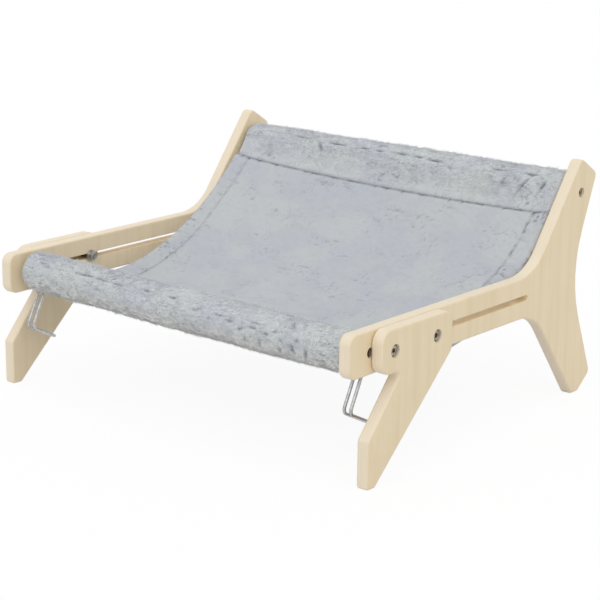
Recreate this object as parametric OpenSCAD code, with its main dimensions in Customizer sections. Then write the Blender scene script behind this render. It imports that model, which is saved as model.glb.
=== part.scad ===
// Cat hammock for a radiator or the floor. Two plywood side panels carry two
// round rods, the rods carry a plush sling, and two front legs slide along a
// slot in each arm. A wire hook hangs on the front bolt of each leg.
// Millimetres. X runs across the bed, -Y is the low front, +Y the high back,
// and the origin is on the floor under the middle of the bed.

/* [Frame] */
// Distance between the outer faces of the side panels
frame_w = 419; // [390:1:450]
// Depth from the front end of the arms to the heels of the rear legs
frame_depth = 375.3; // [360:0.1:400]
// Thickness of the side panels and of the front legs
board_t = 12; // [11:0.5:14]
// Radius that rounds the long edges of every board
edge_r = 2; // [1:0.5:3]

/* [Side panel] */
// Height of the top edge of the arm above the floor
arm_top = 132; // [126:1:138]
// Height of the arm itself, from its lower edge to its top edge
arm_h = 38.5; // [34:0.5:42]
// Corner radius at the front end of the arm
nose_r = 9.5; // [6:0.5:14]
// Distance from the heel corner forward to the corner between arm and post
fork_top_in = 106.7; // [98:0.1:112]
// Distance from the heel corner forward to the corner between arm and rear leg
fork_low_in = 103.1; // [96:0.1:110]
// Radius that blends the arm into the post above and into the leg below
fork_r = 50; // [35:1:60]
// Distance from the heel corner forward to the front corner of the sole
sole_in = 32.1; // [28:0.1:36]
// Length of the flat sole of the rear leg
sole_l = 11.7; // [8:0.1:16]
// Height of the heel corner of the rear leg
heel_z = 15.5; // [12:0.5:20]
// Radius of the heel corner
heel_r = 7; // [5:0.5:10]
// Distance from the heel corner forward to the waist corner of the back edge
waist_in = 42.6; // [36:0.1:48]
// Height of the waist corner of the back edge
waist_z = 118.3; // [110:0.1:126]
// Radius that blends the waist of the back edge
waist_r = 110; // [80:1:130]
// Distance from the heel corner forward to the back corner of the post head
head_back_in = 4.9; // [1:0.1:10]
// Height of the back corner of the post head
head_back_z = 212; // [206:1:218]
// Distance from the heel corner forward to the front corner of the post head
head_front_in = 32.9; // [29:0.1:38]
// Height of the front corner of the post head
head_front_z = 229.5; // [224:0.5:236]
// Corner radius of the post head
head_r = 6.5; // [4:0.5:10]

/* [Slot] */
// Height of the slot in the arm
slot_h = 5.5; // [5.2:0.1:6.5]
// Distance between the centres of the two round ends of the slot
slot_l = 212; // [190:1:216]

/* [Front leg] */
// Distance from the front end of the arm back to the leg block
block_in = 27.5; // [22:0.5:32]
// Length of the leg block that lies against the arm
block_l = 99; // [94:1:110]
// Corner radius of the leg block
block_r = 12; // [8:0.5:15]
// Height of the lower back corner of the leg block
block_back_z = 96.2; // [92:0.1:104]
// Radius of that corner
block_back_r = 8; // [5:0.5:11]
// How far the toe stands in front of the leg block
toe_reach = 16.3; // [10:0.1:22]
// Length of the toe along the floor
toe_l = 10.3; // [8:0.1:18]
// Height of the upright front edge of the toe
shin_z = 42; // [34:1:50]
// Radius between the upright and the slanted front edge
shin_r = 5; // [3:0.5:12]
// Distance from the front of the leg block back to the notch under it
notch_in = 28; // [22:0.5:32]
// Radius in the notch
notch_r = 3.5; // [2:0.5:6]
// Small corner radius at the soles of all legs
sole_r = 2.5; // [1.5:0.5:4]
// Gap between the leg and the arm it slides on
slide_gap = 0.1; // [0.05:0.05:0.3]

/* [Fasteners] */
// Diameter of the bolt shanks
bolt_d = 5; // [4.6:0.1:5.1]
// Clearance hole for a bolt
bolt_hole_d = 5.5; // [5.2:0.1:6.5]
// Distance from the front of the leg block back to the first bolt
bolt_in = 18; // [16:0.5:22]
// Distance between the two bolts of a leg
bolt_pitch = 59; // [54:1:64]
// Diameter of the bolt heads
bolt_head_d = 8.5; // [8:0.1:9]
// Height of the bolt heads
bolt_head_h = 5; // [4:0.1:5.5]
// Width across the flats of the hexagon socket in a bolt head
socket_af = 4; // [3:0.1:4.5]
// Depth of the hexagon socket
socket_h = 2.6; // [2:0.1:3]
// Diameter of the counterbores in the legs
leg_cbore_d = 11.6; // [11:0.1:13]
// Depth of the counterbores in the legs
leg_cbore_h = 8; // [7.5:0.1:8.5]
// Outer diameter of the washers in the legs
washer_d = 10; // [9.2:0.1:10.8]
// Thickness of the washers
washer_t = 1; // [0.6:0.1:1.2]
// Diameter of the counterbores for the rod bolts
rod_cbore_d = 9.2; // [9.1:0.1:10]
// Depth of the counterbores for the rod bolts
rod_cbore_h = 7.5; // [7:0.1:8]
// Width across the flats of the nuts
nut_af = 8; // [7.5:0.1:8.2]
// Height of the flange nut of the rear leg bolt
leg_nut_h = 5; // [4:0.1:6]
// Diameter of the flange of that nut
flange_d = 11.8; // [11:0.1:12.5]
// Thickness of the flange
flange_t = 1.2; // [1:0.1:1.6]
// Height of the thin nut that keeps the hook on its bush
hook_nut_h = 2.7; // [2.2:0.1:2.8]
// Diameter of the threaded inserts in the rod ends
insert_d = 8; // [7:0.1:9]
// Length of the threaded inserts
insert_l = 13; // [10:0.5:16]
// Running clearance, on the radius, of turning and threaded pieces
running_gap = 0.05; // [0.03:0.01:0.1]

/* [Rods] */
// Diameter of both rods
rod_d = 22; // [18:0.5:24]
// Distance from the front end of the arm back to the axis of the front rod
front_rod_in = 27.6; // [24:0.1:27.8]
// Distance from the heel corner forward to the axis of the rear rod
rear_rod_in = 31.7; // [29:0.1:34]
// Height of the axis of the rear rod
rear_rod_z = 196.7; // [190:0.1:202]

/* [Hooks] */
// Diameter of the hook wire
wire_d = 3; // [2.4:0.1:3.2]
// Length of the shank from the bolt axis to the foot
shank_l = 60; // [50:1:66]
// Length of the foot
hook_foot_l = 33; // [26:1:36]
// Radius of the bend between shank and foot, on the middle of the wire
hook_bend_r = 5; // [4:0.5:7]
// Distance between the two wires of a hook
hook_pitch = 7; // [6.4:0.1:7.1]
// Angle at which the shank hangs forward at rest
hook_lean = 26.7; // [20:0.1:32]
// Wall of the bush that the hook turns on
bush_wall = 1; // [0.8:0.1:1.2]

/* [Sling] */
// Gap between the left side of the sling and the side panel, in the rear half
sling_gap_left = 7; // [6.6:0.1:12]
// Gap between the right side of the sling and the side panel, in the rear half
sling_gap_right = 1.5; // [1.2:0.1:4]
// That gap in the front half, where hooks and nuts pass
sling_gap_front = 13.5; // [13.2:0.1:20]
// Thickness of the plush cloth
cloth_t = 7; // [5:0.5:8]
// Gap between cloth pieces, and between cloth and rod
cloth_gap = 0.3; // [0.2:0.05:0.5]
// Thickness of the turned hem along each side
hem_t = 8; // [7:0.5:10]
// Width of the left hem at the rear seam
hem_w_left = 15; // [12:0.5:18]
// Width of the right hem at the rear seam
hem_w_right = 16; // [12:0.5:22]
// Width of both hems in the front half
hem_w_front = 12; // [9:0.5:16]
// How far the edge of both hems stands up at the rear seam
hem_rise_rear = 5; // [0:0.5:10]
// How much lower the edge of the right hem lies just below the rear seam
hem_fall_right = 10; // [0:0.5:12]
// How far the edge of the left hem stands up in the front half
hem_rise_left = 11; // [4:0.5:14]
// How far the edge of the right hem hangs down where it is lowest
hem_drop_right = 15; // [0:0.5:16]
// Width of the stitched groove beside the hem
stitch_w = 2; // [1:0.1:3]
// Depth of that groove
stitch_h = 1.8; // [1:0.1:2.4]
// Height of the soft folds that run from seam to seam
fold_h = 1.4; // [0:0.1:3]
// Angle below straight forward at which the sling leaves its rear seam
rear_fall = 47; // [40:1:52]
// Length over which it holds that angle
rear_hold = 96; // [80:1:110]
// Angle below straight back at which the sling leaves its front seam
front_fall = 38; // [30:1:44]
// Length over which it holds that angle
front_hold = 94; // [80:1:104]
// How much steeper the middle hangs than the sides, in degrees
middle_sag = 1.5; // [0:0.5:3]

/* [Sleeves] */
// Outer radius of the plush sleeve on the front rod
front_sleeve_r = 19.5; // [17:0.1:20.5]
// Outer radius of the plush sleeve on the rear rod
rear_sleeve_r = 19; // [17:0.1:20.5]
// Height of the soft wrinkles on the sleeves
wrinkle_h = 1; // [0.2:0.1:1.4]
// Gap between each end of a sleeve and the side panel
sleeve_gap = 1.5; // [1:0.1:4]
// Distance from the side panel inwards over which the front sleeve leaves room for the hook
hook_room_x = 13.5; // [13.2:0.1:18]
// How far that room reaches in front of the rod axis
hook_room_y = 8; // [7.5:0.5:10]
// How far that room reaches above the rod axis
hook_room_z = 8; // [7.5:0.5:9]
// Length over which the ends of a sleeve are drawn in
sleeve_end_l = 6; // [4:0.5:8]
// Radius of a sleeve at its ends
sleeve_end_r = 14.7; // [13.5:0.1:16]
// Width of the sewn lip of a sleeve
lip_w = 5; // [4:0.5:7]
// Reach of the front lip, straight back from the rod axis
front_lip_y = 23.6; // [23:0.1:26]
// How far the front lip lies below the rod axis
front_lip_z = 5.7; // [3:0.1:8]
// How far the middle of the front sleeve lies in front of its rod axis
front_ahead = 2.6; // [0:0.1:3]
// How far the front sleeve stands above its rod axis at the left end
front_lift_left = 1.6; // [0:0.1:2]
// How far the front sleeve hangs below its rod axis in the middle
front_hang_mid = 1.2; // [0:0.1:2]
// How far the front sleeve hangs below its rod axis at the right end
front_hang_right = 2.9; // [0:0.1:3]
// Reach of the rear lip, straight forward from the rod axis
rear_lip_y = 29.7; // [26:0.1:32]
// How far the rear lip lies below the rod axis at the left end
rear_lip_left = 12; // [8:0.5:16]
// How far the rear lip lies below the rod axis in the middle
rear_lip_mid = 20; // [16:0.5:24]
// How far the rear lip lies below the rod axis at the right end
rear_lip_right = 18; // [14:0.5:22]

/* [Hidden] */

$fn = 48;

// Largest turn, in degrees, between two points of a rounded corner
arc_step = 8;
// How far a cutting tool runs past the face it cuts
overrun = 1;

// Places of the side panel, in the Y-Z plane
panel_out = frame_w / 2;
panel_in = panel_out - board_t;
front_y = -frame_depth / 2;
arm_low = arm_top - arm_h;
arm_mid = arm_top - arm_h / 2;
// What the rounding takes off the heel corner, so that the depth stays as named
heel_cut = -max([for (e = corner([sole_l - sole_in, 0], [0, heel_z],
    [-waist_in, waist_z], heel_r)) e[0].x]);
heel_y = frame_depth / 2 + heel_cut;
fork_top_y = heel_y - fork_top_in;
fork_low_y = heel_y - fork_low_in;
sole_y = heel_y - sole_in;

// Places of the bolts, the slot and the rods
block_y = front_y + block_in;
bolt1_y = block_y + bolt_in;
bolt2_y = bolt1_y + bolt_pitch;
slot_end_y = bolt1_y + slot_l;
front_rod_y = front_y + front_rod_in;
rear_rod_y = heel_y - rear_rod_in;

// Stack of a leg bolt along X, from the outer face of the leg inwards
leg_in = panel_out + slide_gap;
leg_out = leg_in + board_t;
leg_seat_x = leg_out - leg_cbore_h;
head_seat_x = leg_seat_x + washer_t;
leg_nut_x = panel_in - slide_gap - leg_nut_h;

// Stack of the hook bolt: bush, two eyes and thin nut
bolt_r = bolt_d / 2;
wire_r = wire_d / 2;
bush_r = bolt_r + running_gap + bush_wall;
eye_r = bush_r + running_gap + wire_r;
hook_x_out = panel_in - slide_gap - wire_r;
hook_x_in = hook_x_out - hook_pitch;
bush_x = hook_x_in - wire_r - slide_gap;
hook_nut_x = bush_x - hook_nut_h;
rod_seat_x = panel_out - rod_cbore_h;

// Corners of the side panel as [y, z, corner radius], anticlockwise
PANEL = [
    [front_y, arm_low, nose_r],
    [fork_low_y, arm_low, fork_r],
    [sole_y, 0, sole_r],
    [sole_y + sole_l, 0, sole_r],
    [heel_y, heel_z, heel_r],
    [heel_y - waist_in, waist_z, waist_r],
    [heel_y - head_back_in, head_back_z, head_r],
    [heel_y - head_front_in, head_front_z, head_r],
    [fork_top_y, arm_top, fork_r],
    [front_y, arm_top, nose_r]
];
// Place inside the panel from which its whole outline can be seen
PANEL_HUB = [(fork_top_y + heel_y - waist_in) / 2, arm_mid];

// Corners of the front leg as [y, z, corner radius], anticlockwise
LEG = [
    [block_y - toe_reach, 0, sole_r],
    [block_y - toe_reach + toe_l, 0, sole_r],
    [block_y + block_l, block_back_z, block_back_r],
    [block_y + block_l, arm_top, block_r],
    [block_y, arm_top, block_r],
    [block_y, arm_low, block_r],
    [block_y + notch_in, arm_low, notch_r],
    [block_y - toe_reach, shin_z, shin_r]
];
LEG_HUB = [(bolt1_y + bolt2_y) / 2, arm_mid];

// Rows of the sling, and rings and points of a sleeve
sling_rows = 22;
sleeve_rings = 24;
sleeve_points = 30;

function unit(v) = v / norm(v);

// Points of one rounded corner with their outward directions
function corner(p0, p1, p2, r) =
    let (
        d1 = unit(p1 - p0),
        d2 = unit(p2 - p1),
        turn = atan2(d1.x * d2.y - d1.y * d2.x, d1 * d2),
        side = sign(turn),
        reach = r * tan(abs(turn) / 2),
        out = [d1.y, -d1.x],
        start = atan2(out.y, out.x),
        centre = p1 - reach * d1 - side * r * out,
        n = max(2, ceil(abs(turn) / arc_step))
    )
    [for (i = [0:n])
        let (a = start + turn * i / n, q = [cos(a), sin(a)])
        [centre + side * r * q, q]];

// Whole outline of a board from its list of corners
function outline(c) =
    let (n = len(c))
    [for (i = [0:n - 1])
        let (p = c[(i + n - 1) % n], q = c[i], s = c[(i + 1) % n])
        each corner([p.x, p.y], [q.x, q.y], [s.x, s.y], q.z)];

// Triangles that join rings of n points each into a tube
function tube_faces(rings, n) =
    [for (k = [0:rings - 2]) for (i = [0:n - 1])
        let (a = k * n + i, b = k * n + (i + 1) % n)
        each [[a, a + n, b + n], [a, b + n, b]]];

// Triangles that close such a tube towards one point at each end
function hub_faces(rings, n) =
    [for (i = [0:n - 1])
        let (j = (i + 1) % n, last = (rings - 1) * n)
        each [[rings * n, i, j], [rings * n + 1, last + j, last + i]]];

// Board cut to an outline in the Y-Z plane, with rounded long edges
module board(corners, hub, x_low) {
    edge = outline(corners);
    rise = [for (a = [0, 45, 90]) [edge_r * (1 - sin(a)), edge_r * (1 - cos(a))]];
    rings = concat(
        [for (r = rise) [r.x, x_low + r.y]],
        [for (i = [2:-1:0]) [rise[i].x, x_low + board_t - rise[i].y]]
    );
    polyhedron(
        points = concat(
            [for (r = rings) for (e = edge)
                [r.y, e[0].x - r.x * e[1].x, e[0].y - r.x * e[1].y]],
            [for (x = [x_low, x_low + board_t]) [x, hub.x, hub.y]]
        ),
        faces = concat(tube_faces(len(rings), len(edge)), hub_faces(len(rings), len(edge)))
    );
}

// Round bar or hole along X, from x_low to x_high
module bar_x(x_low, x_high, d) {
    translate([x_low, 0, 0]) rotate([0, 90, 0]) cylinder(h = x_high - x_low, d = d);
}

// Hexagonal bar along X, measured across its flats
module hex_x(x_low, x_high, af) {
    translate([x_low, 0, 0]) rotate([0, 90, 0])
        cylinder(h = x_high - x_low, r = af / 2 / cos(30), $fn = 6);
}

// Places its children on a bolt axis in the Y-Z plane
module at(y, z) {
    translate([0, y, z]) children();
}

// Socket head bolt whose head rests at seat_x and whose tip is at tip_x
module socket_bolt(seat_x, tip_x) {
    difference() {
        union() {
            bar_x(tip_x, seat_x + overrun, bolt_d);
            bar_x(seat_x, seat_x + bolt_head_h, bolt_head_d);
        }
        hex_x(seat_x + bolt_head_h - socket_h, seat_x + bolt_head_h + overrun, socket_af);
    }
}

// Side panel: arm, post and rear leg in one board, with slot and bolt holes
module side_panel() {
    color([0.86, 0.79, 0.67]) difference() {
        board(PANEL, PANEL_HUB, panel_in);
        for (y = [bolt1_y, slot_end_y]) at(y, arm_mid)
            bar_x(panel_in - overrun, panel_out + overrun, slot_h);
        at(bolt1_y, arm_mid) translate([panel_in - overrun, 0, -slot_h / 2])
            cube([board_t + 2 * overrun, slot_l, slot_h]);
        for (p = [[front_rod_y, arm_mid], [rear_rod_y, rear_rod_z]]) at(p.x, p.y) {
            bar_x(panel_in - overrun, panel_out, bolt_hole_d);
            bar_x(rod_seat_x, panel_out + overrun, rod_cbore_d);
        }
    }
}

// Front leg: a block against the arm and a slanted shin down to the toe
module front_leg() {
    color([0.85, 0.78, 0.66]) difference() {
        board(LEG, LEG_HUB, leg_in);
        for (y = [bolt1_y, bolt2_y]) at(y, arm_mid) {
            bar_x(leg_in - overrun, leg_out, bolt_hole_d);
            bar_x(leg_seat_x, leg_out + overrun, leg_cbore_d);
        }
    }
}

// Plain round rod with a bore for an insert in each end
module rod(y, z) {
    color([0.83, 0.74, 0.6]) at(y, z) difference() {
        bar_x(-panel_in, panel_in, rod_d);
        for (s = [-1, 1]) scale(s)
            bar_x(panel_in - insert_l, panel_in + overrun, insert_d + 2 * running_gap);
    }
}

// Threaded inserts in both ends of both rods
module rod_inserts() {
    color([0.72, 0.6, 0.35])
        for (m = [0, 1]) mirror([m, 0, 0])
            for (p = [[front_rod_y, arm_mid], [rear_rod_y, rear_rod_z]]) at(p.x, p.y)
                difference() {
                    bar_x(panel_in - insert_l + running_gap, panel_in, insert_d);
                    bar_x(panel_in - insert_l, panel_in + overrun, bolt_d + 2 * running_gap);
                }
}

// Bolts that hold both rods between the side panels
module rod_bolts() {
    color([0.6, 0.6, 0.6])
        for (m = [0, 1]) mirror([m, 0, 0])
            for (p = [[front_rod_y, arm_mid], [rear_rod_y, rear_rod_z]]) at(p.x, p.y)
                socket_bolt(rod_seat_x, panel_in - insert_l + overrun);
}

// Rear bolt of a leg, through the leg, the slot and the flange nut
module leg_bolt() {
    color([0.6, 0.6, 0.6]) at(bolt2_y, arm_mid) socket_bolt(head_seat_x, leg_nut_x);
}

// Front bolt of a leg, which also carries the hook
module hook_bolt() {
    color([0.6, 0.6, 0.6]) at(bolt1_y, arm_mid) socket_bolt(head_seat_x, hook_nut_x);
}

// Washers under both bolt heads of a leg
module leg_washers() {
    color([0.7, 0.7, 0.7])
        for (y = [bolt1_y, bolt2_y]) at(y, arm_mid) difference() {
            bar_x(leg_seat_x, head_seat_x, washer_d);
            bar_x(leg_seat_x - overrun, head_seat_x + overrun, bolt_hole_d);
        }
}

// Flange nut on the inner face of the arm
module leg_nut() {
    color([0.7, 0.7, 0.7]) at(bolt2_y, arm_mid) difference() {
        union() {
            hex_x(leg_nut_x, leg_nut_x + leg_nut_h, nut_af);
            bar_x(leg_nut_x + leg_nut_h - flange_t, leg_nut_x + leg_nut_h, flange_d);
        }
        bar_x(leg_nut_x - overrun, leg_nut_x + leg_nut_h + overrun, bolt_d + 2 * running_gap);
    }
}

// Thin nut that closes the stack of the hook bolt
module hook_nut() {
    color([0.7, 0.7, 0.7]) at(bolt1_y, arm_mid) difference() {
        hex_x(hook_nut_x, bush_x, nut_af);
        bar_x(hook_nut_x - overrun, bush_x + overrun, bolt_d + 2 * running_gap);
    }
}

// Bush between the arm and the thin nut, on which the hook turns
module hook_bush() {
    color([0.75, 0.75, 0.75]) at(bolt1_y, arm_mid) difference() {
        bar_x(bush_x, panel_in - slide_gap, 2 * bush_r);
        bar_x(bush_x - overrun, panel_in + overrun, bolt_d + 2 * running_gap);
    }
}

// Hook: one wire with an eye at each end, two shanks, and a foot closed by a turn
module hook() {
    turn_r = hook_pitch / 2;
    straight_end = hook_foot_l - turn_r;
    color([0.75, 0.76, 0.78]) at(bolt1_y, arm_mid) rotate([-hook_lean, 0, 0]) {
        for (x = [hook_x_in, hook_x_out]) translate([x, 0, 0]) {
            rotate([0, 90, 0]) rotate_extrude() translate([eye_r, 0]) circle(d = wire_d);
            translate([0, 0, hook_bend_r - shank_l])
                cylinder(h = shank_l - hook_bend_r - eye_r, d = wire_d);
            translate([0, hook_bend_r, hook_bend_r - shank_l]) rotate([-90, 0, -90])
                rotate_extrude(angle = 90) translate([hook_bend_r, 0]) circle(d = wire_d);
            translate([0, hook_bend_r, -shank_l]) rotate([-90, 0, 0])
                cylinder(h = straight_end - hook_bend_r, d = wire_d);
        }
        translate([hook_x_in + turn_r, straight_end, -shank_l])
            rotate_extrude(angle = 180) translate([turn_r, 0]) circle(d = wire_d);
    }
}

// Value across the bed from its left, middle and right values, at u from -1 to 1
// between the inner faces of the side panels
function across(left, mid, right, u) =
    left * u * (u - 1) / 2 + mid * (1 - u * u) + right * u * (u + 1) / 2;

// Middle of the front sleeve, and the tips of both sewn lips, at u
function front_centre(u) =
    [front_rod_y - front_ahead,
        arm_mid + across(front_lift_left, -front_hang_mid, -front_hang_right, u)];
function front_tip(u) = front_centre(u) + [front_lip_y, -front_lip_z];
function rear_centre(u) = [rear_rod_y, rear_rod_z];
function rear_tip(u) = rear_centre(u)
    - [rear_lip_y, across(rear_lip_left, rear_lip_mid, rear_lip_right, u)];

// Wrinkles that run round a sleeve on a slant
function wrinkle(u, a) = wrinkle_h * (sin(3 * a + 700 * u) + sin(2 * a - 430 * u)) / 2;

// Points of one ring of a sleeve: a round roll drawn out into a lip, and at the ends
// a smaller ring round the rod
function sleeve_ring(x, r, centre, tip, axis, full) =
    let (
        u = x / panel_in,
        v = tip - centre,
        middle = full ? centre : axis,
        way = atan2(v.y, v.x),
        round_r = full ? r : sleeve_end_r,
        reach = full ? norm(v) : sleeve_end_r,
        spread = acos(round_r / (reach + lip_w / 2))
    )
    [for (i = [0:sleeve_points - 1])
        let (
            a = 360 * i / sleeve_points,
            off = min(a, 360 - a),
            soft = full ? wrinkle(u, a) * (1 - cos(off)) / 2 : 0,
            d = min(reach, round_r / cos(max(0, spread - off))) + soft
        )
        [x, middle.x + d * cos(way + a), middle.y + d * sin(way + a)]];

// Place of ring k of a sleeve, the first and the last at its two ends
function ring_x(k, half) =
    k == 0 ? -half
    : k == sleeve_rings ? half
    : (half - sleeve_end_l) * (2 * (k - 1) / (sleeve_rings - 2) - 1);

// Closed solid of a sleeve from its rings, with the bore for the rod
module sleeve(rings, half, axis) {
    difference() {
        polyhedron(
            points = concat(
                [for (ring = rings) each ring],
                [for (x = [-half, half]) [x, axis.x, axis.y]]
            ),
            faces = concat(
                tube_faces(len(rings), sleeve_points),
                hub_faces(len(rings), sleeve_points)
            )
        );
        at(axis.x, axis.y) bar_x(-panel_in, panel_in, rod_d + 2 * cloth_gap);
    }
}

// Room behind and below the front rod in which a hook hangs and swings
module hook_room() {
    reach = front_sleeve_r + front_lip_y;
    translate([panel_in - hook_room_x, front_rod_y - hook_room_y, arm_mid - reach])
        cube([hook_room_x, hook_room_y + reach, hook_room_z + reach]);
}

module front_sleeve() {
    half = panel_in - sleeve_gap;
    axis = [front_rod_y, arm_mid];
    color([0.72, 0.74, 0.77]) difference() {
        sleeve([for (k = [0:sleeve_rings])
            let (x = ring_x(k, half), u = x / panel_in)
            sleeve_ring(x, front_sleeve_r, front_centre(u), front_tip(u), axis, abs(x) < half)],
            half, axis);
        hook_room();
        left() hook_room();
    }
}

module rear_sleeve() {
    half = panel_in - sleeve_gap;
    axis = [rear_rod_y, rear_rod_z];
    color([0.72, 0.74, 0.77])
        sleeve([for (k = [0:sleeve_rings])
            let (x = ring_x(k, half), u = x / panel_in)
            sleeve_ring(x, rear_sleeve_r, rear_centre(u), rear_tip(u), axis, abs(x) < half)],
            half, axis);
}

// The four curve points of the sling at u, from its rear seam to its front seam
function sling_curve(u) =
    let (
        sag = middle_sag * (1 - u * u),
        rear = [-cos(rear_fall + sag), -sin(rear_fall + sag)],
        front = [cos(front_fall + sag), -sin(front_fall + sag)],
        p0 = rear_tip(u) + cloth_gap * rear,
        p3 = front_tip(u) + cloth_gap * front
    )
    [p0, p0 + rear_hold * rear, p3 + front_hold * front, p3];

function bezier(p, t) =
    pow(1 - t, 3) * p[0] + 3 * pow(1 - t, 2) * t * p[1]
    + 3 * (1 - t) * t * t * p[2] + pow(t, 3) * p[3];
function bezier_way(p, t) = unit(
    pow(1 - t, 2) * (p[1] - p[0]) + 2 * (1 - t) * t * (p[2] - p[1]) + t * t * (p[3] - p[2]));

// Shares of the way from the rear to the front seam at which the sling's edge changes
rear_part_share = 0.17;
front_part_share = 0.4;
drop_end_share = 0.75;
fade_share = 0.12;

// Soft step from 0 at t = a to 1 at t = b
function ease(t, a, b) = let (s = max(0, min(1, (t - a) / (b - a)))) s * s * (3 - 2 * s);
function blend(rear, front, t) = rear + (front - rear) * ease(t, rear_part_share, front_part_share);

// Half the sling's width and the rise of its edge, at t
function sling_half(gap, t) = panel_in - blend(gap, sling_gap_front, t);
function hem_rise(fall, front, t) =
    blend(hem_rise_rear - fall * ease(t, 0, fade_share), front, t) * min(1, (1 - t) / fade_share);
function hem_drop(t) = hem_drop_right * (1 - ease(t, front_part_share, drop_end_share));

// Shares of the hem's width, from its edge, at which its points lie, and its thickness there
hem_shares = [0, 0.1, 0.4, 0.75, 0.98];
thick_shares = [0.35, 0.8, 1, 1, 0.85];
inner_shares = [0.8, 0.55, 0.28];

// Half a cross-section at t from the right edge to the middle, each row holding the
// place across, then the heights of its upper and its lower point
function half_section(t, gap, wide, rise) =
    let (
        w = sling_half(gap, t),
        hem = blend(wide, hem_w_front, t),
        seam = w - hem - stitch_w / 2,
        c = cloth_t / 2
    )
    concat(
        [for (i = [0:len(hem_shares) - 1])
            let (
                lift = rise * pow(1 - hem_shares[i], 1.5),
                h = hem_t / 2 * thick_shares[i]
            )
            [w - hem * hem_shares[i], lift + h, lift - h]],
        [[seam, c - stitch_h, -c], [seam - stitch_w, c, -c]],
        [for (k = inner_shares) [k * seam, c, -c]]
    );
function section(t) =
    let (
        rise = hem_rise(hem_fall_right, -hem_drop(t), t),
        right = half_section(t, sling_gap_right, hem_w_right, rise),
        left = half_section(t, sling_gap_left, hem_w_left, hem_rise(0, hem_rise_left, t))
    )
    concat(
        right,
        [[0, cloth_t / 2, -cloth_t / 2]],
        [for (i = [len(left) - 1:-1:0]) [-left[i][0], left[i][1], left[i][2]]]
    );

// Soft folds of the sling, strongest half way between the seams
function fold(u, t) = fold_h * sin(180 * t) * cos(500 * u + 160 * t);

// Point of the sling at x and t, up from the middle of the cloth
function sling_point(x, up, t) =
    let (u = x / panel_in, p = sling_curve(u), m = bezier(p, t), d = bezier_way(p, t))
    [x, m.x + (up + fold(u, t)) * d.y, m.y - (up + fold(u, t)) * d.x];

// Sling panel: one sheet of cloth that hangs from the rear to the front sleeve
module sling_panel() {
    sections = [for (k = [0:sling_rows]) section(k / sling_rows)];
    n = len(sections[0]);
    last = 2 * n * sling_rows;
    color([0.7, 0.72, 0.76]) polyhedron(
        points = [for (k = [0:sling_rows])
            let (s = sections[k], t = k / sling_rows)
            each concat(
                [for (c = s) sling_point(c[0], c[1], t)],
                [for (i = [n - 1:-1:0]) sling_point(s[i][0], s[i][2], t)]
            )],
        faces = concat(
            tube_faces(sling_rows + 1, 2 * n),
            [for (i = [0:n - 2]) let (a = 2 * n - 1 - i)
                each [[i, i + 1, a - 1], [i, a - 1, a],
                    [last + i, last + a - 1, last + i + 1], [last + i, last + a, last + a - 1]]]
        )
    );
}

module left() {
    mirror([1, 0, 0]) children();
}

left() side_panel();  // left_side_panel
side_panel();  // right_side_panel
rod(front_rod_y, arm_mid);  // front_rod
rod(rear_rod_y, rear_rod_z);  // rear_rod
rod_inserts();
rod_bolts();
sling_panel();
front_sleeve();
rear_sleeve();
left() front_leg();  // left_front_leg
front_leg();  // right_front_leg
left() leg_bolt();  // left_leg_bolt
leg_bolt();  // right_leg_bolt
left() hook_bolt();  // left_hook_bolt
hook_bolt();  // right_hook_bolt
left() leg_washers();  // left_leg_washers
leg_washers();  // right_leg_washers
left() leg_nut();  // left_leg_nut
leg_nut();  // right_leg_nut
left() hook_nut();  // left_hook_nut
hook_nut();  // right_hook_nut
left() hook_bush();  // left_hook_bush
hook_bush();  // right_hook_bush
left() hook();  // left_hook
hook();  // right_hook
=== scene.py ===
# %% [markdown]
# # A plush hammock bed
# The bed is a sheet of plush that hangs between two rods. Two plywood side panels
# hold the rods, and two short plywood legs carry the front. The exact shapes come
# from a CAD model. This lesson gives them wood, steel and cloth, and makes the soft
# pieces again as real cloth. All sizes are in metres.

# %% Load the CAD model as a fixed frame
import bmesh
import bpy
import math
from mathutils import Matrix, Vector, noise


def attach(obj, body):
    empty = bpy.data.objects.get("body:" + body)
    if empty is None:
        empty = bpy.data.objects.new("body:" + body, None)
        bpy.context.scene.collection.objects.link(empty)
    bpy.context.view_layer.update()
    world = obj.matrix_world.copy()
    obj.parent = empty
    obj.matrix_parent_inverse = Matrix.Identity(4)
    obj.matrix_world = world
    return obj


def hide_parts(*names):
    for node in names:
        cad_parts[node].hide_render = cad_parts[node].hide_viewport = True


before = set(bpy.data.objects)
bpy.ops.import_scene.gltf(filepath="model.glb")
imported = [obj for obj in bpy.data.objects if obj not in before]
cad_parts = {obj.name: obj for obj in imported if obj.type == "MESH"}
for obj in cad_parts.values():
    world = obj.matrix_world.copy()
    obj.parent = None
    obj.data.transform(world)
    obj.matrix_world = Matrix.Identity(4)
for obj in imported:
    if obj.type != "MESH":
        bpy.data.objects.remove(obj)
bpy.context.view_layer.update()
scene = bpy.context.scene

# %% [markdown]
# ## Camera
# The product picture was taken with a long lens from the front right, a little above
# the bed. The eye point and the two angles were solved from corners of the boards.
# A small roll levels the picture as it was cropped. The lens is given in millimetres
# on a sensor 36 mm wide, so the frame is square and needs no shift.

# %% Camera
EYE = Vector((1.0805, -1.29925, 0.5477))
AZIMUTH, ELEVATION, ROLL = (math.radians(a) for a in (39.72, 15.26, 0.61))


def camera_matrix():
    back = Vector((math.sin(AZIMUTH) * math.cos(ELEVATION),
                   -math.cos(AZIMUTH) * math.cos(ELEVATION), math.sin(ELEVATION)))
    level = Vector((math.cos(AZIMUTH), math.sin(AZIMUTH), 0))
    up = back.cross(level)
    right = level * math.cos(ROLL) + up * math.sin(ROLL)
    turned = Matrix((right, back.cross(right), back)).transposed().to_4x4()
    return Matrix.Translation(EYE) @ turned


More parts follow.
